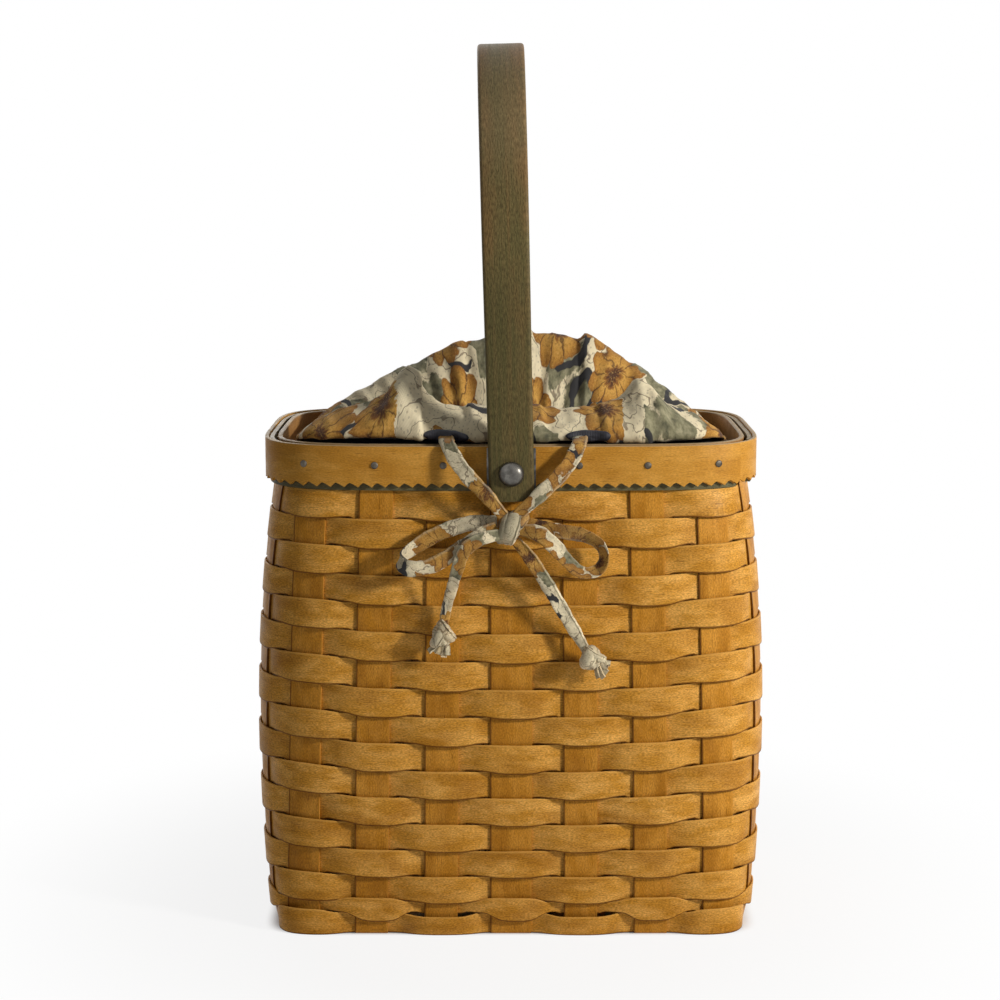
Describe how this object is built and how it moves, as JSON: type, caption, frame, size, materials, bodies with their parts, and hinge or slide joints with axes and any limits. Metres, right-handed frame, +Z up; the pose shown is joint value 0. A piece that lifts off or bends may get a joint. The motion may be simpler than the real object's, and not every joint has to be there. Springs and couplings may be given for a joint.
{
  "type": "tote basket",
  "caption": "Woven wood-splint tote basket with a banded rim, a riveted swing handle and a gathered cloth liner tied in a bow at the front.",
  "frame": {"origin": "on the table under the middle of the basket", "axes": "+Z up, front with the bow towards -Y, +X to the right seen from the front; the handle arches front to back"},
  "size_m": [0.23, 0.1647, 0.3942],
  "materials": {
    "upright_splint": "amber varnished splint",
    "weaver_splint": "honey varnished splint",
    "rim_wood": "honey varnished, toothed lower edge",
    "inner_band_wood": "brown stained",
    "stained_trim": "olive stained",
    "handle_wood": "olive-brown stained, satin",
    "pewter": "dull grey dome",
    "tack_steel": "dull grey",
    "dull_steel": "dull grey sheet",
    "liner_cloth": "cream cotton with an autumn print",
    "tie_cloth": "printed cotton strip"
  },
  "bodies": {
    "basket": {"splint_cross_1": "upright_splint", "splint_cross_2": "upright_splint", "splint_cross_3": "upright_splint", "splint_cross_4": "upright_splint", "splint_cross_5": "upright_splint", "splint_cross_6": "upright_splint", "splint_cross_7": "upright_splint", "splint_long_1": "upright_splint", "splint_long_2": "upright_splint", "splint_long_3": "upright_splint", "splint_long_4": "upright_splint", "weaver_01": "weaver_splint", "weaver_02": "weaver_splint", "weaver_03": "weaver_splint", "weaver_04": "weaver_splint", "weaver_05": "weaver_splint", "weaver_06": "weaver_splint", "weaver_07": "weaver_splint", "weaver_08": "weaver_splint", "weaver_09": "weaver_splint", "weaver_10": "weaver_splint", "weaver_11": "weaver_splint", "weaver_12": "weaver_splint", "weaver_13": "weaver_splint", "weaver_14": "weaver_splint", "weaver_15": "weaver_splint", "weaver_16": "weaver_splint", "weaver_17": "weaver_splint", "rim_band_outer": "rim_wood", "rim_band_inner": "inner_band_wood", "rim_band_trim": "stained_trim", "rivet_front": "pewter", "rivet_washer_front": "dull_steel", "wear_plate_front": "dull_steel", "rivet_back": "pewter", "rivet_washer_back": "dull_steel", "wear_plate_back": "dull_steel", "tack_front_1": "tack_steel", "tack_front_2": "tack_steel", "tack_front_3": "tack_steel", "tack_front_4": "tack_steel", "tack_front_5": "tack_steel", "tack_front_6": "tack_steel", "tack_back_1": "tack_steel", "tack_back_2": "tack_steel", "tack_back_3": "tack_steel", "tack_back_4": "tack_steel", "tack_back_5": "tack_steel", "tack_back_6": "tack_steel", "liner": "liner_cloth", "tie_left": "tie_cloth", "tie_right": "tie_cloth", "bow_knot": "tie_cloth", "bow_loop_left": "tie_cloth", "bow_loop_right": "tie_cloth", "bow_tail_left": "tie_cloth", "bow_tail_right": "tie_cloth"},
    "swing_handle": {"handle": "handle_wood"}
  },
  "joints": [
    {"name": "handle_swing", "type": "hinge", "parent": "basket", "child": "swing_handle", "pos_m": [0, 0, 0.211], "axis": [0, 1, 0], "range_deg": [-33, 36]}
  ]
}
